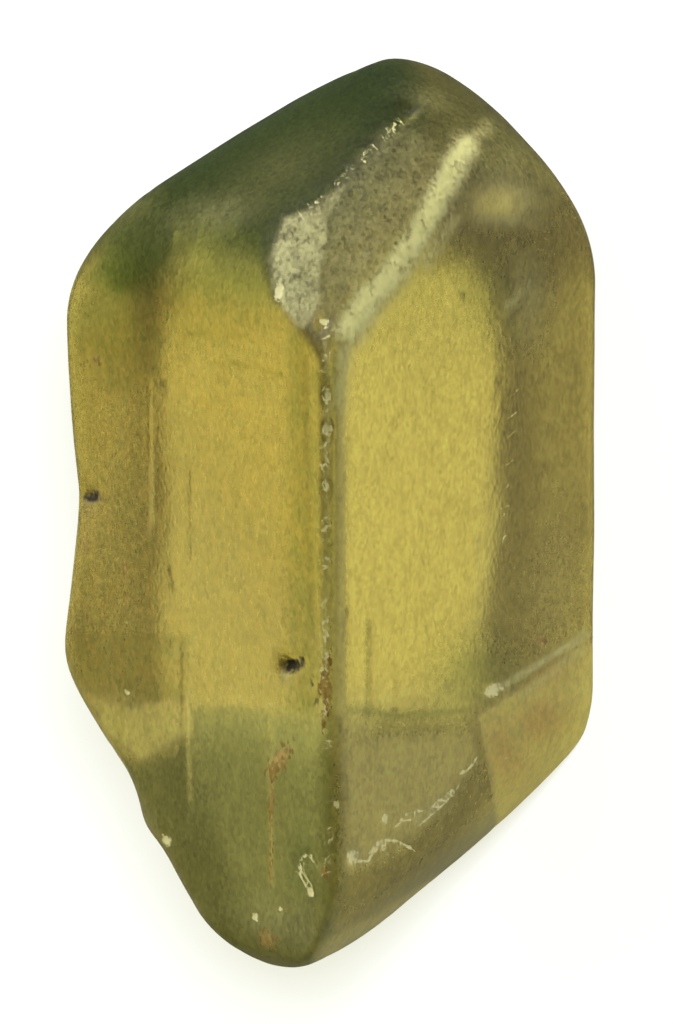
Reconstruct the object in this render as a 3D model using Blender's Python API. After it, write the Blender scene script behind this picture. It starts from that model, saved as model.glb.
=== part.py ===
"""Zircon crystal, waterworn and doubly terminated, lying on one of its four prism faces.

The crystal is described in its own axes first: c runs along the crystal's length, and the show edge, the
one between the two clearest prism faces, has azimuth 0. Each facet is a plane, and the facets meet in worn,
rounded edges. The whole is then laid down: c along +X, the resting prism face on Z = 0, and the origin at
the bottom centre of the bounding box.
"""
import math

import bmesh
import bpy
import numpy as np

MM = 0.001

# Driving dimensions, millimetres and degrees.
PRISM_REACH = 3.26          # from the c axis to each of the four prism faces
BODY_LENGTH = 15.8          # length of the blank that the facets are cut from
CORE_LENGTH = 5.7           # stretch of the c axis that the blank's points are pushed out from
BLANK_REACH = 15.0          # further out than any point of the crystal

SHOW_EDGE_WEAR = 0.44       # how wide the wear is where two facets meet
HIDDEN_EDGE_WEAR = 0.67
SIDE_EDGE_WEAR = 0.60

# Each facet: azimuth about c from the show edge, tilt of its normal from +c, distance from the centre.
PRISM_UP = (-45.0, 90.0, PRISM_REACH)
PRISM_SHOW = (45.0, 90.0, PRISM_REACH)
PRISM_REST = (135.0, 90.0, PRISM_REACH)
PRISM_REAR = (-135.0, 90.0, PRISM_REACH)

SHOULDER_REAR = (-122.6, 38.9, 5.72)
CROWN_UP = (-42.2, 35.9, 6.11)
CROWN_BROAD_WEAR = 1.00     # against the prism faces
CROWN_NARROW_WEAR = 0.48    # against the rear shoulder
CROWN_WEAR_CHANGE = 0.84    # how gradually one goes over into the other

# The remaining facets, each with the width of wear where it meets those before it.
CUTS = {
    "shoulder_rest": (105.0, 49.4, 6.41, 0.76),
    "crown_hidden": (176.0, 45.6, 5.64, 0.93),
    "crown_show": (57.0, 36.4, 6.99, 0.47),
    "crown_band": (3.0, 50.0, 5.91, 0.37),
    "crown_patch": (-11.5, 52.1, 5.78, 0.17),
    "foot_rear": (-125.4, 130.8, 4.78, 0.44),
    "foot_rest_chip": (144.0, 99.3, 3.70, 0.20),
    "foot_hidden": (160.0, 128.0, 6.20, 0.44),
    "foot_rest": (144.4, 132.0, 4.98, 0.30),
    "foot_show": (54.8, 115.4, 4.89, 0.24),
    "foot_side": (69.9, 137.5, 6.02, 0.34),
    "foot_tip": (-20.0, 172.0, 7.70, 0.92),
}

# Hollows (depth above 0) and swellings (below 0): centre in the crystal's own axes, radius and depth.
HOLLOWS = {
    "edge_notch": ((-4.40, -0.08, 0.05), 1.00, 0.105),
    "edge_notch_pit": ((-4.10, -0.32, 0.12), 0.20, 0.200),
    "edge_swelling": ((-4.40, 0.00, -2.60), 0.90, -0.076),
    "up_face_pit": ((-0.67, -3.71, -1.81), 0.20, 0.170),
    "crown_pit": ((1.23, -1.62, 7.10), 0.20, 0.130),
    "foot_scallop_high": ((-3.44, -0.94, -4.48), 0.50, 0.041),
    "foot_knob": ((-3.11, -1.28, -5.34), 0.40, -0.074),
    "foot_side_scallop": ((2.91, 1.00, -5.72), 0.40, 0.060),
}

# Slow waves of the worn faces: wave vector in radians per millimetre, phase.
WAVES = (((1.1, 0.7, 0.9), 0.4), ((-0.8, 1.3, 1.6), 2.1), ((1.9, -1.2, 0.6), 4.4), ((0.5, 1.6, -2.3), 1.2))
WAVE_HEIGHT = 0.006
WAVE_FADE = 0.35            # the waves die out this close to the resting face, which stays flat

# Mesh density: cells across a prism face and along it, then the share of triangles that is kept.
CELLS_ACROSS = 56
CELLS_ALONG = 120
KEEP_RATIO = 0.135
SEARCH_STEPS = 40
FLAT_TOLERANCE = 0.003 * MM


def facet_value(points, azimuth, tilt, distance):
    """Signed distance of points from a facet's plane, negative inside."""
    turn = math.radians(azimuth)
    lean = math.radians(tilt)
    normal = np.array((math.sin(lean) * math.sin(turn), -math.sin(lean) * math.cos(turn), math.cos(lean)))
    return points @ normal - distance


def worn_max(first, second, wear):
    """The larger of two distances, blended where they differ by less than the wear."""
    blend = np.maximum(wear - np.abs(first - second), 0.0) / wear
    return np.maximum(first, second) + blend * blend * wear * 0.25


def smooth_step(value):
    value = np.clip(value, 0.0, 1.0)
    return value * value * (3.0 - 2.0 * value)


def faceted_form(points):
    """The four prism faces and both terminations, edges worn."""
    up = facet_value(points, *PRISM_UP)
    rear = facet_value(points, *PRISM_REAR)
    rest = facet_value(points, *PRISM_REST)
    show_half = worn_max(up, facet_value(points, *PRISM_SHOW), SHOW_EDGE_WEAR)
    hidden_half = worn_max(rear, rest, HIDDEN_EDGE_WEAR)
    form = worn_max(show_half, hidden_half, SIDE_EDGE_WEAR)

    shoulder = facet_value(points, *SHOULDER_REAR)
    form = worn_max(form, shoulder, CROWN_BROAD_WEAR)
    share = smooth_step((up - shoulder) / (2.0 * CROWN_WEAR_CHANGE) + 0.5)
    crown_wear = CROWN_NARROW_WEAR + share * (CROWN_BROAD_WEAR - CROWN_NARROW_WEAR)
    form = worn_max(form, facet_value(points, *CROWN_UP), crown_wear)

    for azimuth, tilt, distance, wear in CUTS.values():
        form = worn_max(form, facet_value(points, azimuth, tilt, distance), wear)
    return form


def relief(points):
    """What is missing from the faceted form: hollows, and the slow waves of the worn faces."""
    missing = np.zeros(len(points))
    for centre, radius, depth in HOLLOWS.values():
        span = np.linalg.norm(points - np.array(centre), axis=1) / radius
        missing += depth * np.exp(-span * span)
    clear_of_rest = smooth_step(-facet_value(points, *PRISM_REST) / WAVE_FADE)
    for vector, phase in WAVES:
        missing += WAVE_HEIGHT * clear_of_rest * np.sin(points @ np.array(vector) + phase)
    return missing


def blank_mesh():
    """A square bar along c, divided into a fine grid, with its long edges on the prism's edges."""
    mesh = bmesh.new()
    bmesh.ops.create_cube(mesh, size=1.0)
    for axis, cells in ((0, CELLS_ACROSS), (1, CELLS_ACROSS), (2, CELLS_ALONG)):
        family = []
        for edge in mesh.edges:
            run = edge.verts[1].co - edge.verts[0].co
            if abs(run[axis]) > 0.5:
                family.append(edge)
        bmesh.ops.subdivide_edges(mesh, edges=family, cuts=cells - 1)
    return mesh


def pushed_out(blank):
    """Each point of the blank, moved out from the c axis to the crystal's surface."""
    width = 2.0 * PRISM_REACH
    turned = np.array(((1.0, -1.0, 0.0), (1.0, 1.0, 0.0), (0.0, 0.0, math.sqrt(2.0)))) / math.sqrt(2.0)
    bar = (blank * np.array((width, width, BODY_LENGTH))) @ turned.T
    start = np.zeros_like(bar)
    start[:, 2] = bar[:, 2] * CORE_LENGTH / BODY_LENGTH
    heading = bar - start
    heading /= np.linalg.norm(heading, axis=1)[:, None]
    near = np.zeros(len(bar))
    far = np.full(len(bar), BLANK_REACH)
    for _ in range(SEARCH_STEPS):
        middle = (near + far) / 2.0
        points = start + heading * middle[:, None]
        inside = faceted_form(points) + relief(points) < 0.0
        near = np.where(inside, middle, near)
        far = np.where(inside, far, middle)
    return start + heading * ((near + far) / 2.0)[:, None]


def laid_down(points):
    """Crystal axes to the resting pose, in metres, origin at the bottom centre."""
    slant = math.sqrt(0.5)
    lay = np.array(((0.0, 0.0, 1.0), (-slant, slant, 0.0), (-slant, -slant, 0.0)))
    placed = (points @ lay.T + np.array((0.0, 0.0, PRISM_REACH))) * MM
    middle = (placed.max(axis=0) + placed.min(axis=0)) / 2.0
    placed[:, 0] -= middle[0]
    placed[:, 1] -= middle[1]
    return placed


def zircon_material():
    material = bpy.data.materials.new("zircon_clear_olive")
    material.use_nodes = True
    shader = material.node_tree.nodes["Principled BSDF"]
    shader.inputs["Base Color"].default_value = (0.52, 0.48, 0.16, 1.0)
    shader.inputs["Metallic"].default_value = 0.0
    shader.inputs["Roughness"].default_value = 0.30
    shader.inputs["IOR"].default_value = 1.93
    shader.inputs["Transmission Weight"].default_value = 0.85
    material.diffuse_color = (0.52, 0.48, 0.16, 1.0)
    return material


def thinned(crystal):
    """The crystal's mesh with fewer triangles where it is flat, and its resting face exactly level."""
    thin_out = crystal.modifiers.new("thin_out", "DECIMATE")
    thin_out.decimate_type = "COLLAPSE"
    thin_out.ratio = KEEP_RATIO
    depsgraph = bpy.context.evaluated_depsgraph_get()
    data = bpy.data.meshes.new_from_object(crystal.evaluated_get(depsgraph))
    crystal.modifiers.remove(thin_out)
    for vertex in data.vertices:
        if abs(vertex.co.z) < FLAT_TOLERANCE:
            vertex.co.z = 0.0
    return data


def crystal_object(collection):
    grid = blank_mesh()
    blank = np.array([vertex.co[:] for vertex in grid.verts])
    for vertex, place in zip(grid.verts, laid_down(pushed_out(blank))):
        vertex.co = place
    bmesh.ops.triangulate(grid, faces=grid.faces[:])
    bmesh.ops.recalc_face_normals(grid, faces=grid.faces[:])
    dense = bpy.data.meshes.new("crystal_dense")
    grid.to_mesh(dense)
    grid.free()
    crystal = bpy.data.objects.new("crystal", dense)
    collection.objects.link(crystal)
    crystal.data = thinned(crystal)
    crystal.data.name = "crystal"
    bpy.data.meshes.remove(dense)
    crystal.data.materials.append(zircon_material())
    crystal.data.shade_smooth()
    return crystal


def main():
    for leftover in list(bpy.data.objects):
        bpy.data.objects.remove(leftover)
    collection = bpy.data.collections.new("zircon_crystal")
    bpy.context.scene.collection.children.link(collection)
    crystal_object(collection)


main()
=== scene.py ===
import math

import bmesh
import bpy
import numpy as np
from mathutils import Matrix, Vector, noise


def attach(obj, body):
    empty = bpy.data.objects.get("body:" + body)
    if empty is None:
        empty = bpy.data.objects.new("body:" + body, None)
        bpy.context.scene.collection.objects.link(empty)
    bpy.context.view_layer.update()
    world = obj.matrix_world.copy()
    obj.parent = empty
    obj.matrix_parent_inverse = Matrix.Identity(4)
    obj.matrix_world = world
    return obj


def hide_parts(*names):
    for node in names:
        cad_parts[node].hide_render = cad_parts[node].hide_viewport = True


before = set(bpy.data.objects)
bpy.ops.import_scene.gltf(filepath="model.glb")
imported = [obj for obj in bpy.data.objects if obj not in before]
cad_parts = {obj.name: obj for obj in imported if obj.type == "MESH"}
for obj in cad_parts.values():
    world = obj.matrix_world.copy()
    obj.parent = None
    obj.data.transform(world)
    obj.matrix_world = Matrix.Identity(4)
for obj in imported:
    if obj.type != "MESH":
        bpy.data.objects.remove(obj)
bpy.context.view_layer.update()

MM = 0.001

# ---------------------------------------------------------------- the crystal's form, as in the CAD model
# Crystal axes, millimetres: c along +Z, the show edge towards -Y. A facet is its azimuth about c from the
# show edge, the tilt of its normal from +c, and its distance from the centre.
PRISM_REACH = 3.26
BODY_LENGTH = 15.8
CORE_LENGTH = 5.7
BLANK_REACH = 15.0

SHOW_EDGE_WEAR = 0.44
HIDDEN_EDGE_WEAR = 0.67
SIDE_EDGE_WEAR = 0.60

PRISM_UP = (-45.0, 90.0, PRISM_REACH)
PRISM_SHOW = (45.0, 90.0, PRISM_REACH)
PRISM_REST = (135.0, 90.0, PRISM_REACH)
PRISM_REAR = (-135.0, 90.0, PRISM_REACH)

SHOULDER_REAR = (-122.6, 38.9, 5.72)
CROWN_UP = (-42.2, 35.9, 6.11)
CROWN_BROAD_WEAR = 1.00
CROWN_NARROW_WEAR = 0.48
CROWN_WEAR_CHANGE = 0.84

CUTS = {
    "shoulder_rest": (105.0, 49.4, 6.41, 0.76),
    "crown_hidden": (176.0, 45.6, 5.64, 0.93),
    "crown_show": (57.0, 36.4, 6.99, 0.47),
    "crown_band": (3.0, 50.0, 5.91, 0.37),
    "crown_patch": (-11.5, 52.1, 5.78, 0.17),
    "foot_rear": (-125.4, 130.8, 4.78, 0.44),
    "foot_rest_chip": (144.0, 99.3, 3.70, 0.20),
    "foot_hidden": (160.0, 128.0, 6.20, 0.44),
    "foot_rest": (144.4, 132.0, 4.98, 0.30),
    "foot_show": (54.8, 115.4, 4.89, 0.24),
    "foot_side": (69.9, 137.5, 6.02, 0.34),
    "foot_tip": (-20.0, 172.0, 7.70, 0.92),
}

HOLLOWS = {
    "edge_notch": ((-4.40, -0.08, 0.05), 1.00, 0.105),
    "edge_notch_pit": ((-4.10, -0.32, 0.12), 0.20, 0.200),
    "edge_swelling": ((-4.40, 0.00, -2.60), 0.90, -0.076),
    "up_face_pit": ((-0.67, -3.71, -1.81), 0.20, 0.170),
    "crown_pit": ((1.23, -1.62, 7.10), 0.20, 0.130),
    "foot_scallop_high": ((-3.44, -0.94, -4.48), 0.50, 0.041),
    "foot_knob": ((-3.11, -1.28, -5.34), 0.40, -0.074),
    "foot_side_scallop": ((2.91, 1.00, -5.72), 0.40, 0.060),
}

WAVES = (((1.1, 0.7, 0.9), 0.4), ((-0.8, 1.3, 1.6), 2.1), ((1.9, -1.2, 0.6), 4.4), ((0.5, 1.6, -2.3), 1.2))
WAVE_HEIGHT = 0.006
WAVE_FADE = 0.35

CELLS_ACROSS = 94
CELLS_ALONG = 200
SEARCH_STEPS = 28

# ---------------------------------------------------------------- the camera's view of it
VIEW_LEAN = 15.5            # degrees above square to c, towards the crown
VIEW_DISTANCE = 161.3       # millimetres
FRAME_HEIGHT = 17.2         # millimetres seen, top to bottom, at the c axis
VIEW_OFFSET = (0.076, -0.202)   # millimetres, right and up
SENSOR = 36.0
CLIP = (0.01, 10.0)         # metres

# ---------------------------------------------------------------- the studio
# The sky and the floor have a level for each kind of ray: seen bare by the camera, through the crystal, as
# light on paint (LIT) and mirrored. Through the crystal, the sky is its dim level and its glow.
WHITE = (1.0, 1.0, 1.0, 1.0)
SKY_SEEN = 1.1
SKY_DIM = 0.08
SKY_MIRRORED = 0.006
SKY_LIT = 0.75
SKY_GLOW = ((0.704, 0.704, 0.087), 85.0, 3.35)      # heading, reach in degrees, strength
KEY_GLOW = ((0.80, 0.12, 0.58), 28.0, 1.0)
KEY_LIT = 1.5
KEY_MIRRORED = 0.35
FLOOR_SEEN = 0.66
FLOOR_THROUGH = 1.81
FLOOR_MIRRORED = 0.04
FLOOR_LIT = 0.95
FLOOR_COLOUR = (0.015, 0.015, 0.015, 1.0)
FLOOR_COLOUR_SEEN = (0.14, 0.14, 0.14, 1.0)
FLOOR_GLOW = (1.0, 1.0, 0.98, 1.0)
FLOOR_GLOW_SEEN = (1.0, 1.0, 0.76, 1.0)
FLOOR_RADIUS = 0.6          # metres
FLOOR_SIDES = 64
FLOOR_DROP = 0.00002        # metres under the resting face
FLOOR_ROUGH = 0.9
LAMP_HEADING = (0.345, -0.66, 0.66)
LAMP_DISTANCE = 0.90        # metres
LAMP_SIZE = 0.18
LAMP_POWER = 39.6
LAMP_COLOUR = (0.76, 0.78, 1.0)

# ---------------------------------------------------------------- the finish, painted light and shade: marks on the shown side
# Millimetres from the crystal's centre, across and up as the camera sees them. A blot is its centre, its
# half sizes, its turn in degrees and its strength. A line is its route, its half width and its strength. An
# area is its corners, the width of its soft border and its strength.
TURNED_AWAY = 0.10          # marks fade where a face is nearly edge on, and stop behind it
# Frost with painted highlights: on the bright ridge, the patch and the crown's band it stands in for sheen;
# elsewhere it is the surface's own frosting.
FROST_AND_SHEEN_LINES = {
    "ridge_bright": (((0.28, 2.75), (0.60, 3.26), (0.95, 3.64), (1.48, 4.45), (1.80, 5.10), (2.20, 5.80)),
                     0.220, 1.70),
    "ridge_top": (((2.20, 5.80), (2.55, 6.15)), 0.160, 0.55),
    "ridge_foot": (((0.10, 1.50), (0.14, 2.10), (0.28, 2.75)), 0.140, 0.75),
    "ridge_short": (((1.55, 3.86), (2.02, 4.60)), 0.110, 0.60),
    "ridge_dark_side": (((-0.10, 4.67), (0.72, 5.63), (1.65, 6.64)), 0.060, 0.28),
    "shoulder_streak": (((2.92, 3.20), (3.36, 3.62)), 0.100, 0.50),
    "show_edge_high": (((-0.10, 2.70), (-0.06, 1.70), (-0.08, 0.40)), 0.060, 0.45),
    "show_edge_low": (((-0.10, 0.40), (-0.10, -1.60), (-0.14, -3.80)), 0.050, 0.30),
    "window_rim": (((0.12, 2.40), (0.10, 0.00), (0.10, -3.90)), 0.060, 0.20),
    "chip_seam": (((2.72, -3.18), (3.49, -2.74), (4.07, -2.40), (4.27, -2.25)), 0.070, 0.80),
    "chip_seam_low": (((3.20, -3.25), (3.68, -2.92), (3.88, -2.74), (4.20, -2.55)), 0.045, 0.50),
}
FROST_AND_SHEEN_BLOTS = {
    "shoulder_high": ((3.02, 4.58), (0.55, 0.10), 0.0, 0.35),
    "shoulder_low": ((3.24, 3.36), (0.35, 0.70), 0.0, 0.30),
    "crown_tip": ((1.60, 6.60), (0.45, 0.20), -15.0, 0.22),
    "crown_right": ((2.90, 5.40), (0.90, 0.50), -40.0, 0.30),
    "crack_milk": ((1.70, -5.16), (0.42, 0.13), 38.0, 0.40),
    "curl_milk": ((0.36, -5.88), (0.16, 0.12), 40.0, 0.50),
    "foot_end": ((-0.30, -7.30), (1.30, 0.50), -10.0, 0.30),
    "shoulder_left": ((-3.60, 5.00), (0.60, 0.50), 30.0, 0.18),
    "left_of_patch": ((-1.95, 4.70), (0.80, 0.30), 8.0, 0.17),
}
FROST_AND_SHEEN_AREAS = {
    "patch": (((-0.30, 4.76), (-0.78, 4.60), (-1.00, 3.93), (-0.96, 3.38), (-0.77, 3.06), (-0.57, 2.82),
               (-0.36, 2.80), (-0.20, 3.23), (-0.18, 3.73), (-0.08, 4.20), (-0.08, 4.69)), 0.14, 0.76),
    "patch_nicks": (((-0.40, 4.70), (0.10, 5.15), (0.30, 5.20), (-0.05, 4.60)), 0.14, 0.50),
}
STAINS = {
    "edge_rust": ((-0.14, -3.05), (0.08, 0.62), 0.0, 0.85),
    "foot_rust": ((-0.86, -4.30), (0.15, 0.36), -35.0, 1.00),
    "tip_rust": ((-1.06, -7.32), (0.20, 0.26), 20.0, 0.75),
    "curl_rust": ((-0.10, -6.13), (0.07, 0.15), 10.0, 0.90),
    "side_rust_high": ((-4.12, -0.67), (0.05, 0.40), 0.0, 0.80),
    "side_rust_low": ((-3.44, -1.34), (0.035, 0.40), 0.0, 0.75),
    "chip_mark": ((3.51, -2.37), (0.14, 0.14), 0.0, 0.80),
    "left_rust": ((-4.00, 2.30), (0.20, 0.14), -20.0, 0.50),
}
STAIN_LINES = {
    "foot_thread": (((-0.97, -4.54), (-1.01, -5.06), (-1.02, -6.30)), 0.040, 0.75),
    "edge_thread": (((-0.05, -2.52), (-0.03, -3.19), (-0.15, -3.80)), 0.045, 0.85),
    "side_thread": (((-3.50, -0.95), (-3.44, -1.34), (-3.42, -1.80)), 0.030, 0.80),
}
AMBER_AREAS = {
    "left_face": (((-2.90, 3.60), (-0.10, 3.00), (-0.10, -3.50), (-4.10, -3.40), (-4.50, -2.40),
                   (-4.20, 2.60)), 0.80, 0.70),
}
AMBER = {
    "chip_brown": ((2.90, -4.20), (0.36, 0.62), 25.0, 1.00),
    "chip_gold": ((3.50, -3.70), (0.46, 0.34), 30.0, 1.40),
    "chip_top": ((3.70, -2.85), (0.60, 0.30), 28.0, 0.80),
    "left_border": ((-3.90, 1.60), (0.35, 0.90), 0.0, 0.30),
}
DIRT = {
    "up_face_pit": ((-0.67, -2.74), (0.27, 0.13), 8.0, 1.00),
    "up_face_pit_tail": ((-0.52, -2.62), (0.12, 0.06), 40.0, 0.80),
    "pit_by_edge_high": ((-0.35, -3.02), (0.09, 0.08), 0.0, 0.72),
    "pit_by_edge_low": ((-0.25, -3.31), (0.09, 0.10), 0.0, 0.72),
    "notch_pit": ((-4.03, 0.05), (0.24, 0.15), 0.0, 0.88),
    "crown_pit": ((1.24, 6.40), (0.26, 0.12), 12.0, 0.60),
}
# Painted shade: darker places where little light comes through, along grooves and ledges, below the break
# and at the tip.
PAINTED_SHADE = {
    "foot_core": ((-0.50, -6.00), (0.55, 1.50), 0.0, 0.86),
    "window_corner_low": ((2.45, -3.00), (0.80, 0.85), 30.0, 0.55),
    "window_corner_high": ((2.50, 3.30), (0.80, 0.90), 0.0, 0.35),
    "window_right_top": ((1.40, 3.40), (1.60, 1.50), 0.0, 0.24),
    "window_left_top": ((-1.60, 3.60), (1.80, 1.25), 0.0, 0.72),
    "left_border_top": ((-3.50, 2.70), (0.90, 1.20), 0.0, 0.72),
    "window_left_low": ((-2.60, -2.90), (1.90, 0.90), 0.0, 0.24),
}
PAINTED_SHADE_LINES = {
    "show_edge": (((-0.48, 2.60), (-0.46, -3.40)), 0.360, 0.72),
    "break_right": (((0.08, -3.48), (0.50, -3.45), (1.02, -3.58), (1.70, -3.54), (2.28, -3.49)),
                    0.080, 0.60),
    "fine_groove": (((0.57, -1.98), (0.57, -3.48)), 0.030, 0.45),
    "ledge_left_side": (((-4.28, 2.72), (-3.90, 2.62), (-3.55, 2.40)), 0.045, 0.60),
    "ledge_left": (((-2.45, 2.72), (-1.90, 2.80), (-1.35, 2.62)), 0.050, 0.60),
    "ledge_right": (((-1.90, 2.25), (-1.25, 2.20), (-0.85, 2.02)), 0.050, 0.65),
    "tip_shadow": (((-1.30, -7.60), (-0.60, -7.85), (0.30, -7.55)), 0.130, 0.25),
}
PAINTED_SHADE_AREAS = {
    "below_break_left": (((-2.35, -3.46), (-1.60, -3.40), (-0.90, -3.50), (0.02, -3.56), (0.02, -8.00),
                          (-2.20, -8.00), (-4.20, -6.00), (-4.40, -4.70), (-3.80, -4.35), (-3.22, -4.45),
                          (-2.70, -4.25), (-2.36, -3.95)), 0.24, 0.62),
    "above_break_left": (((-4.15, -3.28), (-3.83, -3.36), (-3.51, -3.48), (-2.89, -3.34), (-2.35, -3.40),
                          (-2.35, -2.20), (-4.40, -2.20)), 0.10, 0.44),
    "below_break_right": (((0.10, -3.50), (0.60, -3.47), (1.02, -3.60), (1.70, -3.56), (2.30, -3.51),
                           (2.42, -3.95), (0.10, -3.95)), 0.20, 0.20),
    "left_face": (((-4.60, 2.70), (-0.20, 2.70), (-0.20, -3.45), (-4.60, -3.30)), 0.80, 0.17),
    "left_shoulder": (((-4.10, 3.65), (-3.80, 4.70), (-2.60, 5.20), (-2.35, 4.20), (-2.80, 3.40),
                       (-3.60, 3.20)), 0.80, 0.90),
    "left_border": (((-4.80, 3.60), (-3.05, 3.60), (-2.95, -3.30), (-4.80, -3.30)), 0.50, 0.27),
    "smooth_break": (((0.30, -6.02), (0.64, -5.88), (0.95, -5.72), (1.36, -5.80), (1.62, -5.36),
                      (2.10, -4.78), (2.48, -4.28), (2.62, -4.40), (2.86, -5.60), (1.80, -6.30),
                      (0.40, -7.05), (0.00, -7.20)), 0.10, 0.06),
}
# Painted light: paler, brighter places where light glows through the crystal; the surface there is also made
# more matt and cloudy.
PAINTED_LIGHT_AREAS = {
    "left_gold": (((-4.06, -3.32), (-3.51, -3.50), (-3.05, -3.42), (-2.40, -3.34), (-2.36, -3.85),
                   (-2.80, -4.12), (-3.22, -4.37), (-3.80, -3.90)), 0.16, 0.85),
    "chip": (((2.42, -3.62), (4.30, -2.40), (5.00, -3.00), (4.80, -5.20), (2.80, -5.60), (2.66, -4.60)),
             0.12, 1.00),
    "foot_right": (((0.15, -4.00), (2.35, -3.95), (2.45, -4.30), (1.90, -5.00), (1.20, -5.70),
                    (0.30, -6.10)), 0.40, 0.62),
    "tip_strip": (((-0.34, -7.40), (0.64, -6.95), (1.80, -6.28), (1.90, -6.45), (0.70, -7.20),
                   (-0.30, -7.75)), 0.10, 0.50),
}
PAINTED_LIGHT = {
    "right_gold": ((0.35, -4.05), (0.30, 0.55), 0.0, 0.45),
    "crown_left": ((-0.80, 5.40), (1.10, 0.50), 28.0, 0.10),
    "crown_gold": ((2.80, 4.90), (0.50, 0.30), 8.0, 1.40),
    "left_wing": ((-2.95, -4.00), (0.60, 0.35), 0.0, 0.30),
    "left_gold": ((-3.40, -3.75), (0.75, 0.40), -25.0, 0.55),
    "chip": ((3.55, -3.90), (0.95, 0.85), 20.0, 0.60),
    "right_border_low": ((3.80, -1.60), (0.60, 1.60), 0.0, 0.22),
}
PAINTED_LIGHT_LINES = {
    "window_rim": (((0.14, 2.30), (0.12, 0.00), (0.12, -3.50)), 0.080, 1.00),
    "left_gold_rim": (((-4.02, -3.34), (-3.51, -3.53), (-3.05, -3.62)), 0.060, 0.60),
    "left_long": (((-2.41, -3.16), (-2.37, -4.97)), 0.050, 0.32),
    "left_mid": (((-1.03, -3.39), (-1.03, -6.40)), 0.045, 0.24),
    "left_border": (((-3.02, 0.60), (-3.04, -0.60)), 0.040, 0.35),
}
CHALK = {
    "patch_foot": ((-0.87, 3.39), (0.09, 0.15), 0.0, 1.00),
    "ridge_foot": ((-0.12, 2.89), (0.09, 0.10), 0.0, 1.00),
    "edge_1": ((-0.07, 1.68), (0.08, 0.12), 0.0, 1.10),
    "edge_2": ((-0.07, 1.14), (0.08, 0.09), 0.0, 1.10),
    "edge_3": ((-0.10, 0.20), (0.07, 0.09), 0.0, 1.00),
    "foot_dot": ((0.07, -5.01), (0.07, 0.07), 0.0, 1.00),
    "foot_dash": ((0.89, -5.28), (0.07, 0.11), -20.0, 1.00),
    "curl_end": ((0.35, -5.90), (0.10, 0.13), 0.0, 1.00),
    "curl_tail": ((-0.37, -6.48), (0.06, 0.12), 0.0, 0.90),
    "chip_nick": ((2.72, -3.18), (0.17, 0.11), 20.0, 1.00),
    "tip_dot": ((-1.29, -6.94), (0.08, 0.08), 0.0, 1.00),
    "tip_dot_small": ((-0.87, -6.80), (0.05, 0.05), 0.0, 0.90),
    "chip_dot": ((2.92, -4.32), (0.05, 0.05), 0.0, 0.90),
    "side_dot": ((-3.44, -3.24), (0.05, 0.06), 0.0, 0.90),
    "side_chip": ((-2.78, -5.70), (0.10, 0.12), 35.0, 0.80),
}
CHALK_LINES = {
    "crack_low": (((0.64, -5.92), (0.71, -5.71), (0.87, -5.64), (1.09, -5.66), (1.33, -5.80)), 0.10, 1.00),
    "crack_middle": (((1.11, -5.36), (1.24, -5.22), (1.48, -5.17)), 0.09, 0.90),
    "crack_wedge": (((1.66, -5.12), (1.83, -4.97), (2.02, -4.82)), 0.10, 0.80),
    "crack_high": (((2.18, -4.55), (2.32, -4.47), (2.42, -4.33)), 0.09, 1.00),
    "crack_low_double": (((0.46, -5.96), (0.62, -5.98), (0.74, -5.80), (0.90, -5.72)), 0.08, 0.75),
    "crack_low_spur": (((0.78, -5.68), (0.86, -5.80), (0.93, -5.88)), 0.07, 0.65),
    "crack_middle_double": (((1.04, -5.44), (1.20, -5.33), (1.36, -5.30)), 0.07, 0.60),
    "crack_wedge_low": (((1.48, -5.40), (1.72, -5.20), (1.96, -4.99), (2.12, -4.78)), 0.07, 0.70),
    "crack_hook": (((0.35, -5.90), (0.48, -6.02), (0.60, -5.98)), 0.09, 0.80),
    "curl": (((-0.55, -6.15), (-0.49, -5.93), (-0.35, -5.86), (-0.27, -6.03)), 0.08, 0.62),
    "curl_double": (((-0.58, -6.02), (-0.46, -5.84), (-0.33, -5.95)), 0.07, 0.50),
    "curl_drop_double": (((-0.48, -6.12), (-0.40, -6.28), (-0.32, -6.44)), 0.07, 0.45),
    "curl_drop": (((-0.56, -6.15), (-0.46, -6.35), (-0.37, -6.55)), 0.08, 0.62),
}
# Nicked edges: the route, how many nicks, their length, their turn from straight across and their strength.
NICKED_EDGES = {
    "crown_edge": (((-0.45, 4.62), (0.10, 5.22), (0.70, 5.75), (1.25, 6.38)), 40, 0.12, -18.0, 0.36),
    "ridge": (((0.25, 2.72), (0.95, 3.70), (1.55, 4.60), (2.25, 5.85)), 34, 0.16, 10.0, 0.45),
    "patch": (((-0.90, 3.20), (-0.85, 4.10), (-0.40, 4.66)), 10, 0.16, 0.0, 0.40),
    "show_edge_high": (((-0.06, 2.70), (-0.12, 1.60), (-0.10, 0.20)), 24, 0.11, 30.0, 0.60),
    "show_edge_low": (((-0.10, -0.20), (-0.12, -2.00), (-0.10, -3.60)), 34, 0.11, 30.0, 0.62),
    "show_edge_foot": (((-0.08, -3.60), (-0.02, -5.00), (-0.10, -6.30)), 16, 0.10, 30.0, 0.50),
    "right_border": (((3.05, 2.20), (2.95, 0.60), (2.80, -1.20)), 10, 0.10, 60.0, 0.40),
}
NICK_SEED = 11
NICK_LENGTHS = (0.5, 1.2)   # least and most, of the edge's own length of nick
NICK_STRENGTHS = (0.6, 1.2)
NICK_TURN_SPREAD = 18.0     # degrees
NICK_PLACE_SPREAD = 0.15    # of a nick's length
NICK_REACH = 0.06           # how softly a nick's strength falls off
CRACK_LIMIT = 0.3           # distances from a stroke are cut off here
CRACK_WIDTH = 0.030
# The first mask is painted shade, the second painted light, and the fourth frost with painted sheen.
MASKS = ("shade", "painted_light", "amber", "frost_and_sheen", "matt", "stain", "dirt", "chalk", "crack", "beside")
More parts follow.
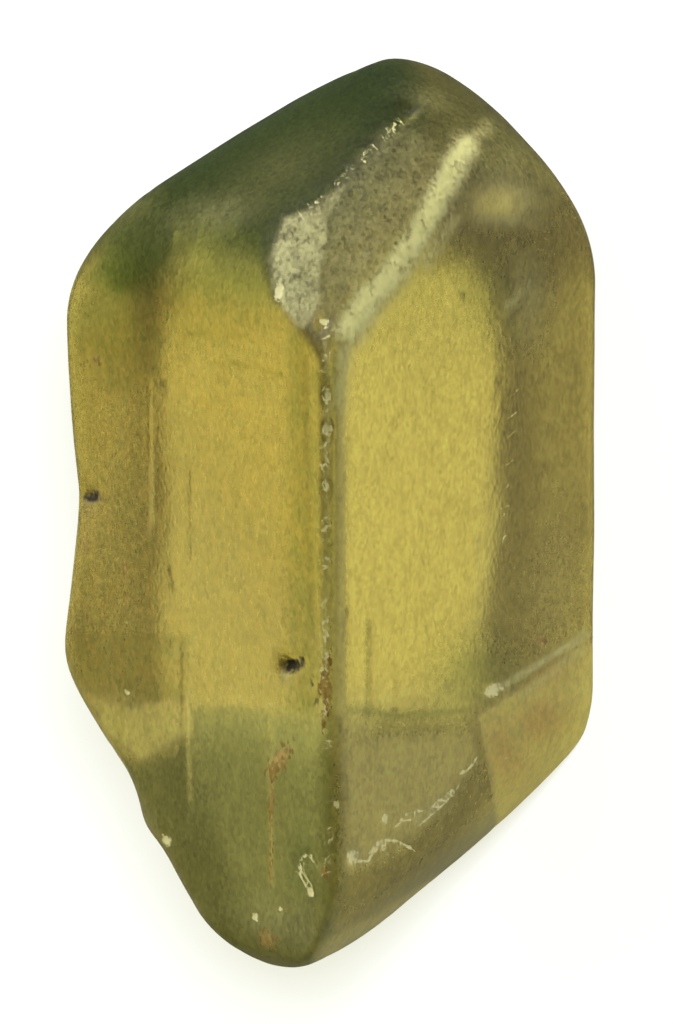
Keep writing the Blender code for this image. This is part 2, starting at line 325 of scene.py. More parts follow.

# Facets with a finish or a painted shade of their own: the facet, its strength there, and how far past it
# that fades.
# The crown's facets get painted shade, a dark green.
SHADED_FACETS = (
    (CROWN_UP, 1.0, 1.0),
    (SHOULDER_REAR, 1.0, 0.9),
    (CUTS["crown_hidden"], 0.6, 0.8),
    (CUTS["crown_show"], 0.53, 0.9),
    (CUTS["crown_band"], 0.30, 0.3),
)
# painted highlight on the crown's patch and band, with their frosting
FROST_AND_SHEEN_FACETS = (
    (CUTS["crown_patch"], 0.20, 0.06),
    (CUTS["crown_band"], 0.34, 0.12),
)
MATT_FACETS = tuple(
    (CUTS[name], 1.0, 0.5)
    for name in ("foot_rear", "foot_rest_chip", "foot_hidden", "foot_rest", "foot_side", "foot_tip")
)
MATT_BY_PAINTED_LIGHT = 0.7
HAZE = 0.27                 # how matt the shown side is below the break

# ---------------------------------------------------------------- the finish: fine relief, in millimetres
# A groove is a line along c. A ledge is its two ends across, its height at the first, its slope and depth.
GROOVES = {
    "right_long": (((0.57, -1.98), (0.57, -3.48)), 0.037, 1.00),
    "right_short": (((1.01, -2.99), (1.01, -3.46)), 0.037, 0.70),
    "right_high": (((0.60, -1.01), (0.60, -1.68)), 0.034, 0.40),
    "left_outer": (((-3.06, 2.02), (-3.06, -0.34)), 0.050, 0.60),
    "left_inner": (((-2.30, 0.50), (-2.30, -1.01)), 0.050, 0.60),
    "left_low": (((-3.51, -3.44), (-3.51, -4.23)), 0.034, 0.80),
    "left_long": (((-2.45, -2.35), (-2.44, -5.54)), 0.042, 0.60),
    "left_mid": (((-1.04, -5.22), (-1.04, -6.48)), 0.034, 0.60),
    "edge_left": (((-0.40, 2.35), (-0.34, 0.00), (-0.27, -2.35)), 0.067, 0.60),
    "edge_right": (((-0.03, 1.68), (-0.02, -1.68)), 0.042, 0.40),
}
LEDGES = (
    ((-4.30, -3.30), 2.72, -0.30, 0.040),
    ((-2.60, -1.20), 2.80, -0.05, 0.032),
    ((-1.90, -0.60), 2.28, -0.16, 0.030),
    ((-2.40, -1.20), 1.60, 0.05, 0.014),
)
LEDGE_END = 0.3             # a ledge starts and stops over this length
LEDGE_STEP = 0.10           # and drops over this one
LEDGE_FADE = 0.5
PIT_DEPTH = 0.06
NICK_DEPTH = 0.03
GROOVE_DEPTH = 0.035
CRACK_DEPTH = 0.02
RUST_HEIGHT = 0.01
PIT_SEED = 7
PIT_COUNT = 420
PIT_RADIUS = (0.05, 0.10)
PIT_SHARE = (0.1, 0.28)     # a pit's depth, as a share of its radius
PIT_REACH = 3.0             # radii from a pit's centre to where it is left out
ROLL_SCALE = 2.2
ROLL_HEIGHT = 0.003
ROLL_OCTAVES = 2
ROLL_LIMIT = 0.004          # the rolling wear stands out no further than this

# ---------------------------------------------------------------- the finish: tints, painted light and shade, and roughness

WINDOW_TINT = (0.95, 0.72, 0.17, 1.0)
# painted shade: a dark green
PAINTED_SHADE_TINT = (0.115, 0.222, 0.022, 1.0)
FOOT_TINT = (0.86, 0.74, 0.32, 1.0)
# painted light: a bright yellow
PAINTED_LIGHT_TINT = (1.0, 0.82, 0.14, 1.0)
AMBER_TINT = (0.80, 0.42, 0.06, 1.0)
# frosting, with painted sheen
FROST_AND_SHEEN_TINT = (0.94, 0.90, 0.31, 1.0)
STAIN_TINT = (0.30, 0.17, 0.02, 1.0)
STAIN_CRUST_TINT = (0.78, 0.56, 0.13, 1.0)
CHALK_TINT = (1.0, 0.92, 0.38, 1.0)
DIRT_TINT = (0.075, 0.060, 0.008, 1.0)
CLEAR_ROUGH = 0.22
MATT_ROUGH = 0.42
FROST_ROUGH = 0.3           # these four are added to it
SHADE_ROUGH = 0.08
GRAIN_ROUGH = 0.06
DIRT_ROUGH = 0.5
CLEARNESS = 0.80
FROST_AND_SHEEN_CLOUD = 0.6           # how far frost with its painted sheen, and painted light, take the clearness away
PAINTED_LIGHT_CLOUD = 0.5
ZIRCON_IOR = 1.93
BODY_TINT = (0.79, 0.815, 0.70, 1.0)
BODY_DENSITY = 400.0        # per metre
GRAIN_SCALE = 16.0          # per millimetre, as the two below
GRIT_SCALE = 19.0
BLOTCH_SCALE = 5.0
GRAIN_STRETCH = (0.6, 1.0, 1.0)
GRAIN_HEIGHT = 0.003

# How the grain breaks up a mask's border, and how it makes the colour uneven: gains and offsets.
BORDER_GAIN = 1.5
BORDER_OFFSET = -0.15
HARD_BORDER = 4.0
SOFT_BORDER = 1.8
FROST_BY_GRAIN = 1.5
FROST_BY_BLOTCH = 1.5
FROST_OFFSET = -0.6
STROKE_BY_GRIT = 1.8        # of CRACK_WIDTH, as the two below
STROKE_LEAST = 0.1
STROKE_BORDER = 2.5
CONTRAST = 0.95
CONTRAST_BY_SHADE = 0.3
CONTRAST_BY_MATT = -0.65
BRIGHTNESS = 0.72
BRIGHTNESS_BY_BLOTCH = 0.5

# The crystal's axes as they lie in the world: c along +X, the resting prism face down.
SLANT = math.sqrt(0.5)
LAY = np.array(((0.0, 0.0, 1.0), (-SLANT, SLANT, 0.0), (-SLANT, -SLANT, 0.0)))


def facet_value(points, azimuth, tilt, distance):
    """Signed distance of points from a facet's plane, negative inside."""
    turn = math.radians(azimuth)
    lean = math.radians(tilt)
    normal = np.array((math.sin(lean) * math.sin(turn), -math.sin(lean) * math.cos(turn), math.cos(lean)))
    return points @ normal - distance


def worn_max(first, second, wear):
    """The larger of two distances, blended where they differ by less than the wear."""
    blend = np.maximum(wear - np.abs(first - second), 0.0) / wear
    return np.maximum(first, second) + blend * blend * wear * 0.25


def smooth_step(value):
    """From 0 to 1 as the value goes from 0 to 1, level at both ends."""
    value = np.clip(value, 0.0, 1.0)
    return value * value * (3.0 - 2.0 * value)


def faceted_form(points):
    """The four prism faces and both terminations, edges worn."""
    up = facet_value(points, *PRISM_UP)
    rear = facet_value(points, *PRISM_REAR)
    rest = facet_value(points, *PRISM_REST)
    show_half = worn_max(up, facet_value(points, *PRISM_SHOW), SHOW_EDGE_WEAR)
    hidden_half = worn_max(rear, rest, HIDDEN_EDGE_WEAR)
    form = worn_max(show_half, hidden_half, SIDE_EDGE_WEAR)
    shoulder = facet_value(points, *SHOULDER_REAR)
    form = worn_max(form, shoulder, CROWN_BROAD_WEAR)
    share = smooth_step((up - shoulder) / (2.0 * CROWN_WEAR_CHANGE) + 0.5)
    crown_wear = CROWN_NARROW_WEAR + share * (CROWN_BROAD_WEAR - CROWN_NARROW_WEAR)
    form = worn_max(form, facet_value(points, *CROWN_UP), crown_wear)
    for azimuth, tilt, distance, wear in CUTS.values():
        form = worn_max(form, facet_value(points, azimuth, tilt, distance), wear)
    return form


def relief(points):
    """What the broad hollows and the slow waves have taken off, in millimetres."""
    missing = np.zeros(len(points))
    for centre, radius, depth in HOLLOWS.values():
        span = np.linalg.norm(points - np.array(centre), axis=1) / radius
        missing += depth * np.exp(-span * span)
    clear_of_rest = smooth_step(-facet_value(points, *PRISM_REST) / WAVE_FADE)
    for vector, phase in WAVES:
        missing += WAVE_HEIGHT * clear_of_rest * np.sin(points @ np.array(vector) + phase)
    return missing


def blank_mesh():
    """A square bar along c, divided into a fine grid, with its long edges on the prism's edges."""
    mesh = bmesh.new()
    bmesh.ops.create_cube(mesh, size=1.0)
    for axis, cells in ((0, CELLS_ACROSS), (1, CELLS_ACROSS), (2, CELLS_ALONG)):
        family = []
        for edge in mesh.edges:
            run = edge.verts[1].co - edge.verts[0].co
            if abs(run[axis]) > 0.5:
                family.append(edge)
        bmesh.ops.subdivide_edges(mesh, edges=family, cuts=cells - 1)
    return mesh


def pushed_out(blank):
    """Each point of the blank, moved out from the c axis to the crystal's surface."""
    width = 2.0 * PRISM_REACH
    turned = np.array(((1.0, -1.0, 0.0), (1.0, 1.0, 0.0), (0.0, 0.0, math.sqrt(2.0)))) / math.sqrt(2.0)
    bar = (blank * np.array((width, width, BODY_LENGTH))) @ turned.T
    start = np.zeros_like(bar)
    start[:, 2] = bar[:, 2] * CORE_LENGTH / BODY_LENGTH
    heading = bar - start
    heading /= np.linalg.norm(heading, axis=1)[:, None]
    near = np.zeros(len(bar))
    far = np.full(len(bar), BLANK_REACH)
    for _ in range(SEARCH_STEPS):
        middle = (near + far) / 2.0
        points = start + heading * middle[:, None]
        inside = faceted_form(points) + relief(points) < 0.0
        near = np.where(inside, middle, near)
        far = np.where(inside, far, middle)
    return start + heading * ((near + far) / 2.0)[:, None]


def resting(points):
    """Crystal axes to the resting pose, in metres, the c axis over the world's origin."""
    return (points @ LAY.T + np.array((0.0, 0.0, PRISM_REACH))) * MM


def shown_share(outward):
    """1 where the surface faces the camera, 0 where it faces away."""
    lean = math.radians(VIEW_LEAN)
    facing = outward @ np.array((0.0, -math.cos(lean), math.sin(lean)))
    return smooth_step(facing / TURNED_AWAY)


def fine_relief(points, shown):
    """What the finest wear has taken off, in millimetres: ledges, grooves and small pits."""
    missing = PIT_DEPTH * blots(points, DIRT) + NICK_DEPTH * blots(points, CHALK)
    missing += GROOVE_DEPTH * lines(points, GROOVES) + CRACK_DEPTH * lines(points, CHALK_LINES)
    missing -= RUST_HEIGHT * blots(points, STAINS)
    across, up = view_plane(points)
    for (start, end), top, lean, depth in LEDGES:
        run = smooth_step((across - start) / LEDGE_END) * smooth_step((end - across) / LEDGE_END)
        drop = smooth_step((top - up + lean * (across - start)) / LEDGE_STEP)
        missing += depth * run * drop * np.exp(-np.maximum(top - up, 0.0) / LEDGE_FADE)
    missing *= shown
    draw = np.random.default_rng(PIT_SEED)
    for spot in points[draw.integers(0, len(points), PIT_COUNT)]:
        radius = draw.uniform(*PIT_RADIUS)
        near = np.abs(points[:, 2] - spot[2]) < PIT_REACH * radius
        gap = np.linalg.norm(points[near] - spot, axis=1) / radius
        missing[near] += draw.uniform(*PIT_SHARE) * radius * np.exp(-gap * gap)
    return missing


def rolling_wear(points):
    """What slow, uneven wear has taken off every face, in millimetres, negative where it stands out."""
    rolling = np.array([noise.fractal(Vector(spot * ROLL_SCALE), 1.0, 2.0, ROLL_OCTAVES) for spot in points])
    return np.maximum(rolling * ROLL_HEIGHT, -ROLL_LIMIT)


def view_plane(points):
    """Across and up, in millimetres, as the show edge is seen from VIEW_LEAN above square to c."""
    lean = math.radians(VIEW_LEAN)
    return points[:, 0], points[:, 2] * math.cos(lean) + points[:, 1] * math.sin(lean)


def nicks():
    """Short strokes strewn along the nicked edges, as routes."""
    draw = np.random.default_rng(NICK_SEED)
    strokes = {}
    for name, (route, count, length, turn, strength) in NICKED_EDGES.items():
        corners = np.array(route)
        reach = np.concatenate(((0.0,), np.cumsum(np.linalg.norm(np.diff(corners, axis=0), axis=1))))
        for number in range(count):
            place = draw.uniform(0.0, reach[-1])
            middle = np.array([np.interp(place, reach, corners[:, axis]) for axis in (0, 1)])
            run = corners[-1] - corners[0]
            across_edge = math.atan2(run[1], run[0]) + math.radians(90.0)
            heading = across_edge + math.radians(turn + draw.normal(0.0, NICK_TURN_SPREAD))
            reach_out = 0.5 * length * draw.uniform(*NICK_LENGTHS)
            half = reach_out * np.array((math.cos(heading), math.sin(heading)))
            middle = middle + draw.normal(0.0, NICK_PLACE_SPREAD * length, 2)
            ends = (tuple(middle - half), tuple(middle + half))
            strokes[f"{name}_{number}"] = (ends, NICK_REACH, strength * draw.uniform(*NICK_STRENGTHS))
    return strokes


def blots(points, marks):
    """The strongest of some soft oval marks at each point, as the camera would see them."""
    across, up = view_plane(points)
    cover = np.zeros(len(points))
    for centre, size, turn, strength in marks.values():
        along = math.radians(turn)
        right = across - centre[0]
        rise = up - centre[1]
        first = (right * math.cos(along) + rise * math.sin(along)) / size[0]
        second = (rise * math.cos(along) - right * math.sin(along)) / size[1]
        cover = np.maximum(cover, strength * np.exp(-(first * first + second * second)))
    return cover


def gap_to(start, end, across, up):
    """How far each place is from a straight piece of a route."""
    run = np.array(end) - np.array(start)
    share = ((across - start[0]) * run[0] + (up - start[1]) * run[1]) / (run @ run)
    share = np.clip(share, 0.0, 1.0)
    return np.hypot(across - start[0] - share * run[0], up - start[1] - share * run[1])


def lines(points, routes):
    """The strongest of some soft lines, each its route, its half width and its strength."""
    across, up = view_plane(points)
    cover = np.zeros(len(points))
    for route, width, strength in routes.values():
        for start, end in zip(route, route[1:]):
            gap = gap_to(start, end, across, up)
            cover = np.maximum(cover, strength * np.exp(-(gap / width) ** 2))
    return cover


def areas(points, shapes):
    """The strongest of some many-sided areas, each its corners, its border's width and its strength."""
    across, up = view_plane(points)
    cover = np.zeros(len(points))
    for corners, border, strength in shapes.values():
        gap = np.full(len(points), BLANK_REACH)
        inside = np.zeros(len(points), dtype=bool)
        for start, end in zip(corners, corners[1:] + corners[:1]):
            gap = np.minimum(gap, gap_to(start, end, across, up))
            if start[1] != end[1]:
                crossing = start[0] + (up - start[1]) * (end[0] - start[0]) / (end[1] - start[1])
                inside ^= ((start[1] > up) != (end[1] > up)) & (across < crossing)
        depth = np.where(inside, gap, -gap)
        cover = np.maximum(cover, strength * smooth_step(depth / border + 0.5))
    return cover


def beside_line(points, routes):
    """How far off the nearest route each point is, counted negative on its right, and cut off at a limit."""
    across, up = view_plane(points)
    nearest = np.full(len(points), CRACK_LIMIT)
    side = np.ones(len(points))
    for route, _, _ in routes.values():
        for start, end in zip(route, route[1:]):
            gap = gap_to(start, end, across, up)
            turn = (end[0] - start[0]) * (up - start[1]) - (end[1] - start[1]) * (across - start[0])
            side = np.where(gap < nearest, np.where(turn < 0.0, -1.0, 1.0), side)
            nearest = np.minimum(gap, nearest)
    return nearest * side


def near_facets(points, facets):
    """The strongest of some facets: full strength on a facet's plane, none a border's width below it."""
    cover = np.zeros(len(points))
    for facet, strength, border in facets:
        cover = np.maximum(cover, strength * smooth_step(1.0 + facet_value(points, *facet[:3]) / border))
    return cover


def marked(points, spots, routes, shapes):
    """The strongest of some blots, lines and areas."""
    return np.maximum.reduce((blots(points, spots), lines(points, routes), areas(points, shapes)))


def masks_of(points, shown):
    """Named covers for the finish and painted light and shade, and how far each point is from the nearest
    stroke.
    """
    painted_light = shown * marked(points, PAINTED_LIGHT, PAINTED_LIGHT_LINES, PAINTED_LIGHT_AREAS)
    frost_and_sheen = shown * marked(points, FROST_AND_SHEEN_BLOTS, FROST_AND_SHEEN_LINES, FROST_AND_SHEEN_AREAS)
    frost_and_sheen = np.maximum(frost_and_sheen, near_facets(points, FROST_AND_SHEEN_FACETS))
    # painted shade from the blots, lines and areas
    painted_shade = shown * marked(points, PAINTED_SHADE, PAINTED_SHADE_LINES, PAINTED_SHADE_AREAS)
    shade = near_facets(points, SHADED_FACETS) * (1.0 - frost_and_sheen)
    strokes = {**CHALK_LINES, **nicks()}
    below_break = areas(points, {"foot": PAINTED_SHADE_AREAS["below_break_left"]})
    return {
        # painted shade: the crown's dark green and the shade blots, lines and areas
        "shade": np.maximum(shade, painted_shade) * (1.0 - painted_light),
        "painted_light": painted_light,
        "amber": shown * np.maximum(blots(points, AMBER), areas(points, AMBER_AREAS)),
        "frost_and_sheen": frost_and_sheen,
        "matt": np.maximum.reduce((near_facets(points, MATT_FACETS), MATT_BY_PAINTED_LIGHT * painted_light,
                                   HAZE * shown * below_break)),
        "stain": shown * np.maximum(blots(points, STAINS), lines(points, STAIN_LINES)),
        "dirt": shown * blots(points, DIRT),
        "chalk": shown * blots(points, CHALK),
        "crack": shown * lines(points, strokes),
        "beside": beside_line(points, strokes),
    }


def shader_math(nodes, operation, *inputs):
    """The result of one operation on sockets or plain numbers."""
    node = nodes.new("ShaderNodeMath")
    node.operation = operation
    for place, value in enumerate(inputs):
        if isinstance(value, bpy.types.NodeSocket):
            node.id_data.links.new(value, node.inputs[place])
        else:
            node.inputs[place].default_value = value
    return node.outputs[0]


def shader_mix(nodes, share, under, over):
    """One colour over another."""
    node = nodes.new("ShaderNodeMix")
    node.data_type = "RGBA"
    for socket, value in ((node.inputs[0], share), (node.inputs[6], under), (node.inputs[7], over)):
        if isinstance(value, bpy.types.NodeSocket):
            node.id_data.links.new(value, socket)
        else:
            socket.default_value = value
    return node.outputs[2]


def noise_of(nodes, in_mm, scale, detail):
    """Soft noise, from 0 to 1."""
    node = nodes.new("ShaderNodeTexNoise")
    node.inputs["Scale"].default_value = scale
    node.inputs["Detail"].default_value = detail
    node.id_data.links.new(in_mm, node.inputs["Vector"])
    return node.outputs["Fac"]


def grit_of(nodes, in_mm, scale):
    """Grains, each with its own value from 0 to 1."""
    node = nodes.new("ShaderNodeTexVoronoi")
    node.inputs["Scale"].default_value = scale
    node.id_data.links.new(in_mm, node.inputs["Vector"])
    return node.outputs["Color"]


def clamped(nodes, value, gain):
    """A value times a gain, kept between 0 and 1."""
    node = nodes.new("ShaderNodeMath")
    node.operation = "MULTIPLY"
    node.use_clamp = True
    node.inputs[1].default_value = gain
    nodes.id_data.links.new(value, node.inputs[0])
    return node.outputs[0]


def worn_cover(nodes, mask, grain, crispness):
    """A soft mask with its border broken up by the grain."""
    over = shader_math(nodes, "MULTIPLY_ADD", mask, BORDER_GAIN, BORDER_OFFSET)
    return clamped(nodes, shader_math(nodes, "SUBTRACT", over, grain), crispness)


def grain_place(nodes):
    """The point being shaded in millimetres, with the grain drawn out along X."""
    place = nodes.new("ShaderNodeTexCoord")
    stretch = nodes.new("ShaderNodeVectorMath")
    stretch.operation = "MULTIPLY"
    stretch.inputs[1].default_value = [part / MM for part in GRAIN_STRETCH]
    nodes.id_data.links.new(place.outputs["Object"], stretch.inputs[0])
    return stretch.outputs[0]


def mask_sockets(nodes):
    """The piece's masks, by name, as sockets."""
    mask = {}
    for name in MASKS:
        reader = nodes.new("ShaderNodeAttribute")
        reader.attribute_name = name
        mask[name] = reader.outputs["Fac"]
    return mask


def chalk_cover(nodes, mask, grit):
    """Chalky spots, and strokes whose half width varies with the grit."""
    half_width = shader_math(nodes, "MULTIPLY_ADD", grit, STROKE_BY_GRIT * CRACK_WIDTH,
                             STROKE_LEAST * CRACK_WIDTH)
    left = shader_math(nodes, "SUBTRACT", shader_math(nodes, "MULTIPLY", mask["crack"], half_width),
                       shader_math(nodes, "ABSOLUTE", mask["beside"]))
    return shader_math(nodes, "MAXIMUM", worn_cover(nodes, mask["chalk"], grit, HARD_BORDER),
                       clamped(nodes, left, STROKE_BORDER / CRACK_WIDTH))


def frost_and_sheen_cover(nodes, mask, grain, broad):
    """Frosting with painted sheen, stronger where the grain and the blotches are."""
    uneven = shader_math(nodes, "MULTIPLY_ADD", broad, FROST_BY_BLOTCH, FROST_OFFSET)
    uneven = shader_math(nodes, "MULTIPLY_ADD", grain, FROST_BY_GRAIN, uneven)
    return shader_math(nodes, "MULTIPLY", mask["frost_and_sheen"], uneven)


def grained(nodes, colour, mask, grain, broad):
    """A colour made uneven by grain and blotches, more in the shade and less where it is matt."""
    contrast = shader_math(nodes, "MULTIPLY_ADD", mask["shade"], CONTRAST_BY_SHADE, CONTRAST)
    less = shader_math(nodes, "MULTIPLY_ADD", mask["matt"], CONTRAST_BY_MATT, 1.0)
    contrast = shader_math(nodes, "MULTIPLY", contrast, less)
    uneven = shader_math(nodes, "MULTIPLY_ADD", broad, BRIGHTNESS_BY_BLOTCH, BRIGHTNESS)
    gain = shader_math(nodes, "MULTIPLY_ADD", shader_math(nodes, "SUBTRACT", grain, 0.5), contrast, uneven)
    scaled = nodes.new("ShaderNodeVectorMath")
    scaled.operation = "SCALE"
    nodes.id_data.links.new(colour, scaled.inputs[0])
    nodes.id_data.links.new(gain, scaled.inputs["Scale"])
    return scaled.outputs[0]


def roughness(nodes, mask, fine, dirt):
    rough = shader_math(nodes, "MULTIPLY_ADD", mask["matt"], MATT_ROUGH - CLEAR_ROUGH, CLEAR_ROUGH)
    rough = shader_math(nodes, "MULTIPLY_ADD", mask["frost_and_sheen"], FROST_ROUGH, rough)
    rough = shader_math(nodes, "MULTIPLY_ADD", mask["shade"], SHADE_ROUGH, rough)
    rough = shader_math(nodes, "MULTIPLY_ADD", fine, GRAIN_ROUGH, rough)
    return shader_math(nodes, "MULTIPLY_ADD", dirt, DIRT_ROUGH, rough)


def clearness(nodes, mask, frost_and_sheen, stain, chalk, dirt):
    """How much light goes through: less under frost with its painted sheen, painted light, stain, chalk and
    dirt.
    """
    solid = shader_math(nodes, "MAXIMUM", stain, chalk)
    solid = shader_math(nodes, "MAXIMUM", solid, dirt)
    solid = shader_math(nodes, "MAXIMUM", solid, shader_math(nodes, "MULTIPLY", frost_and_sheen, FROST_AND_SHEEN_CLOUD))
    solid = shader_math(nodes, "MAXIMUM", solid, shader_math(nodes, "MULTIPLY", mask["painted_light"], PAINTED_LIGHT_CLOUD))
    return shader_math(nodes, "MULTIPLY_ADD", solid, -CLEARNESS, CLEARNESS)


def zircon_material():
    material = bpy.data.materials.new("zircon_worn")
    material.use_nodes = True
    nodes = material.node_tree.nodes
    links = material.node_tree.links
    shader = nodes["Principled BSDF"]
    in_mm = grain_place(nodes)
    mask = mask_sockets(nodes)
    fine = noise_of(nodes, in_mm, GRAIN_SCALE, 1.0)
    broad = noise_of(nodes, in_mm, BLOTCH_SCALE, 2.0)
    grit = grit_of(nodes, in_mm, GRIT_SCALE)
    grain = shader_math(nodes, "MULTIPLY_ADD", grit, 0.5, shader_math(nodes, "MULTIPLY", fine, 0.5))

    stain = worn_cover(nodes, mask["stain"], grit, HARD_BORDER)
    dirt = worn_cover(nodes, mask["dirt"], fine, SOFT_BORDER)
    frost_and_sheen = frost_and_sheen_cover(nodes, mask, grain, broad)
    chalk = chalk_cover(nodes, mask, grit)

    # Painted shade turns the colour dark green, painted light bright yellow, and the frost carries painted
    # sheen.
    colour = shader_mix(nodes, mask["shade"], WINDOW_TINT, PAINTED_SHADE_TINT)
    colour = shader_mix(nodes, mask["matt"], colour, FOOT_TINT)
    colour = shader_mix(nodes, mask["painted_light"], colour, PAINTED_LIGHT_TINT)
    colour = shader_mix(nodes, shader_math(nodes, "MULTIPLY", mask["amber"], broad), colour, AMBER_TINT)
    colour = grained(nodes, colour, mask, grain, broad)
    colour = shader_mix(nodes, frost_and_sheen, colour, FROST_AND_SHEEN_TINT)
    crust = shader_mix(nodes, grit, STAIN_TINT, STAIN_CRUST_TINT)
    colour = shader_mix(nodes, stain, colour, crust)
    colour = shader_mix(nodes, chalk, colour, CHALK_TINT)
    colour = shader_mix(nodes, dirt, colour, DIRT_TINT)
    links.new(colour, shader.inputs["Base Color"])
    links.new(roughness(nodes, mask, fine, dirt), shader.inputs["Roughness"])
    links.new(clearness(nodes, mask, frost_and_sheen, stain, chalk, dirt), shader.inputs["Transmission Weight"])

    bump = nodes.new("ShaderNodeBump")
    bump.inputs["Distance"].default_value = GRAIN_HEIGHT * MM
    links.new(noise_of(nodes, in_mm, GRAIN_SCALE, 0.0), bump.inputs["Height"])
    links.new(bump.outputs["Normal"], shader.inputs["Normal"])
    shader.inputs["IOR"].default_value = ZIRCON_IOR
    absorb = nodes.new("ShaderNodeVolumeAbsorption")
    absorb.inputs["Color"].default_value = BODY_TINT
    absorb.inputs["Density"].default_value = BODY_DENSITY
    links.new(absorb.outputs["Volume"], nodes["Material Output"].inputs["Volume"])
    return material


def crystal_piece():
    """Adds the dressed crystal. Gives where the middle of its box lay before it was centred, in metres."""
    grid = blank_mesh()
    blank = np.array([vertex.co[:] for vertex in grid.verts])
    worn = pushed_out(blank)
    for vertex, place in zip(grid.verts, worn):
        vertex.co = place
    bmesh.ops.recalc_face_normals(grid, faces=grid.faces[:])
    grid.normal_update()
    outward = np.array([vertex.normal[:] for vertex in grid.verts])
    clear_of_rest = smooth_step(-facet_value(worn, *PRISM_REST) / WAVE_FADE)
    shown = shown_share(outward)
    missing = (fine_relief(worn, shown) + rolling_wear(worn)) * clear_of_rest
    placed = resting(worn)
    middle = (placed.max(axis=0) + placed.min(axis=0)) / 2.0
    middle[2] = 0.0
    for vertex, place in zip(grid.verts, resting(worn - outward * missing[:, None]) - middle):
        vertex.co = place
    grid.normal_update()
    data = bpy.data.meshes.new("crystal_worn")
    grid.to_mesh(data)
    grid.free()
    for name, cover in masks_of(worn, shown).items():
        data.attributes.new(name, "FLOAT", "POINT").data.foreach_set("value", cover)
    data.shade_smooth()
    data.materials.append(zircon_material())
    piece = bpy.data.objects.new("crystal_worn", data)
    bpy.context.scene.collection.objects.link(piece)
    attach(piece, "root")
    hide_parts("crystal")
    return middle


def glow_by_ray(nodes, seen, through, lit, mirrored):
    """A level each: seen bare by the camera, seen through the crystal, lighting paint, and mirrored."""
    path = nodes.new("ShaderNodeLightPath")
    level = shader_math(nodes, "MULTIPLY_ADD", path.outputs["Is Transmission Ray"], through - mirrored,
                        mirrored)
    level = shader_math(nodes, "MULTIPLY_ADD", path.outputs["Is Diffuse Ray"], lit - mirrored, level)
    return shader_math(nodes, "MULTIPLY_ADD", path.outputs["Is Camera Ray"], seen - mirrored, level)


def floor_piece():
    mesh = bmesh.new()
    bmesh.ops.create_circle(mesh, cap_ends=True, segments=FLOOR_SIDES, radius=FLOOR_RADIUS)
    data = bpy.data.meshes.new("floor")
    mesh.to_mesh(data)
    mesh.free()
    floor = bpy.data.objects.new("floor", data)
    floor.location.z = -FLOOR_DROP
    bpy.context.scene.collection.objects.link(floor)
    material = bpy.data.materials.new("light_table")
    material.use_nodes = True
    nodes = material.node_tree.nodes
    links = material.node_tree.links
    shader = nodes["Principled BSDF"]
    shader.inputs["Roughness"].default_value = FLOOR_ROUGH
    shader.inputs["Specular IOR Level"].default_value = 0.0
    path = nodes.new("ShaderNodeLightPath")
    colour = shader_mix(nodes, path.outputs["Is Camera Ray"], FLOOR_COLOUR, FLOOR_COLOUR_SEEN)
    links.new(colour, shader.inputs["Base Color"])
    glow_colour = shader_mix(nodes, path.outputs["Is Camera Ray"], FLOOR_GLOW, FLOOR_GLOW_SEEN)
    links.new(glow_colour, shader.inputs["Emission Color"])
    glow = glow_by_ray(nodes, FLOOR_SEEN, FLOOR_THROUGH, FLOOR_LIT, FLOOR_MIRRORED)
    links.new(glow, shader.inputs["Emission Strength"])
    material.cycles.emission_sampling = "NONE"
    data.materials.append(material)
    return floor


def sky_glow(nodes, heading, reach, strength):
    """A soft lobe of light around one direction of the sky, gone at its reach in degrees."""
    links = nodes.id_data.links
    look = nodes.new("ShaderNodeTexCoord")
    dot = nodes.new("ShaderNodeVectorMath")
    dot.operation = "DOT_PRODUCT"
    dot.inputs[1].default_value = heading
    links.new(look.outputs["Generated"], dot.inputs[0])
    lobe = nodes.new("ShaderNodeMapRange")
    lobe.interpolation_type = "SMOOTHSTEP"
    lobe.inputs["From Min"].default_value = math.cos(math.radians(reach))
    lobe.inputs["From Max"].default_value = 1.0
    lobe.inputs["To Max"].default_value = strength
    links.new(dot.outputs["Value"], lobe.inputs["Value"])
    return lobe.outputs["Result"]


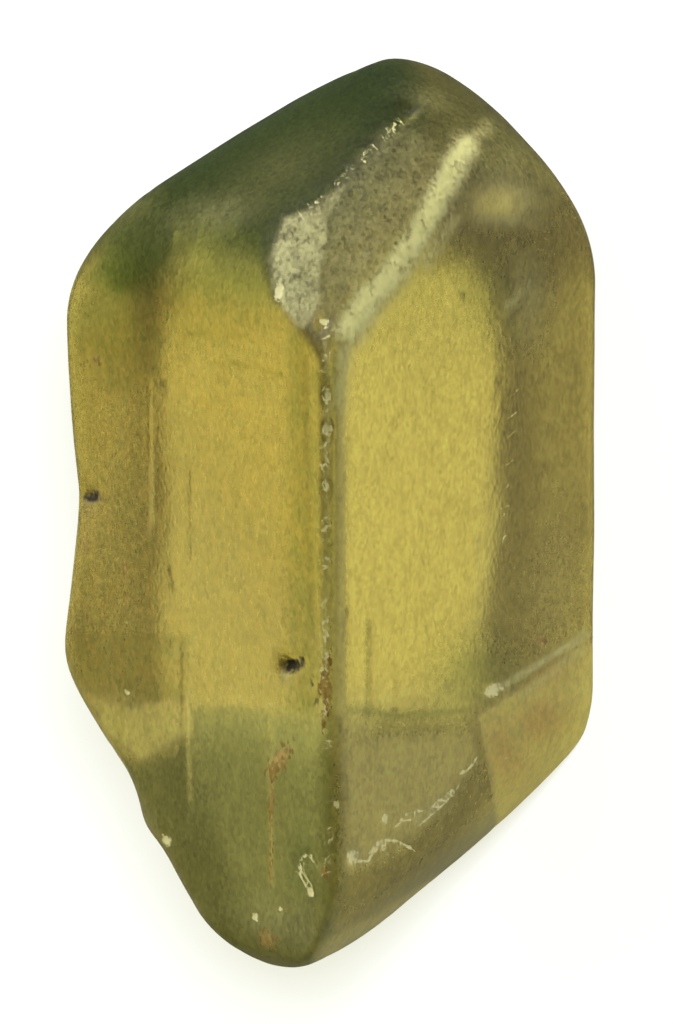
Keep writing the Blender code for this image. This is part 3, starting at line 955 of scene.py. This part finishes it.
def set_world():
    world = bpy.data.worlds.new("studio")
    bpy.context.scene.world = world
    world.use_nodes = True
    nodes = world.node_tree.nodes
    links = world.node_tree.links
    back = nodes["Background"]
    back.inputs["Color"].default_value = WHITE
    sky = shader_math(nodes, "ADD", sky_glow(nodes, *SKY_GLOW), SKY_DIM)
    sky = shader_math(nodes, "MULTIPLY", sky, glow_by_ray(nodes, 0.0, 1.0, SKY_LIT, SKY_MIRRORED))
    key = shader_math(nodes, "MULTIPLY", sky_glow(nodes, *KEY_GLOW),
                      glow_by_ray(nodes, 0.0, 0.0, KEY_LIT, KEY_MIRRORED))
    bare = glow_by_ray(nodes, SKY_SEEN, 0.0, 0.0, 0.0)
    total = shader_math(nodes, "ADD", shader_math(nodes, "ADD", sky, key), bare)
    links.new(total, back.inputs["Strength"])
    world.cycles.sampling_method = "NONE"


def set_camera(middle):
    lean = math.radians(VIEW_LEAN)
    right = LAY @ np.array((1.0, 0.0, 0.0))
    up = LAY @ np.array((0.0, math.sin(lean), math.cos(lean)))
    back = LAY @ np.array((0.0, -math.cos(lean), math.sin(lean)))
    centre = np.array((0.0, 0.0, PRISM_REACH)) * MM - np.array((middle[0], middle[1], 0.0))
    place = centre + (back * VIEW_DISTANCE + right * VIEW_OFFSET[0] + up * VIEW_OFFSET[1]) * MM
    data = bpy.data.cameras.new("camera")
    data.sensor_width = SENSOR
    data.lens = SENSOR * VIEW_DISTANCE / FRAME_HEIGHT
    data.clip_start, data.clip_end = CLIP
    camera = bpy.data.objects.new("camera", data)
    matrix = Matrix.Identity(4)
    for row in range(3):
        matrix[row][0] = right[row]
        matrix[row][1] = up[row]
        matrix[row][2] = back[row]
        matrix[row][3] = place[row]
    camera.matrix_world = matrix
    bpy.context.scene.collection.objects.link(camera)
    bpy.context.scene.camera = camera


def soft_light(floor):
    """A square soft box that lights the floor alone, for the crystal's shadow."""
    data = bpy.data.lights.new("key", "AREA")
    data.shape = "SQUARE"
    data.size = LAMP_SIZE
    data.energy = LAMP_POWER
    data.color = LAMP_COLOUR
    lamp = bpy.data.objects.new("key", data)
    heading = np.array(LAMP_HEADING) / np.linalg.norm(LAMP_HEADING)
    lamp.location = Vector(heading * LAMP_DISTANCE)
    lamp.rotation_euler = Vector(heading).to_track_quat("Z", "Y").to_euler()
    bpy.context.scene.collection.objects.link(lamp)
    lit = bpy.data.collections.new("lit_by_key")
    lit.objects.link(floor)
    lamp.light_linking.receiver_collection = lit


middle = crystal_piece()
floor = floor_piece()
set_world()
set_camera(middle)
soft_light(floor)
bpy.context.scene.view_settings.view_transform = "Standard"
paths = bpy.context.scene.cycles
paths.max_bounces = 9
paths.transmission_bounces = 9
paths.diffuse_bounces = 2
paths.glossy_bounces = 4
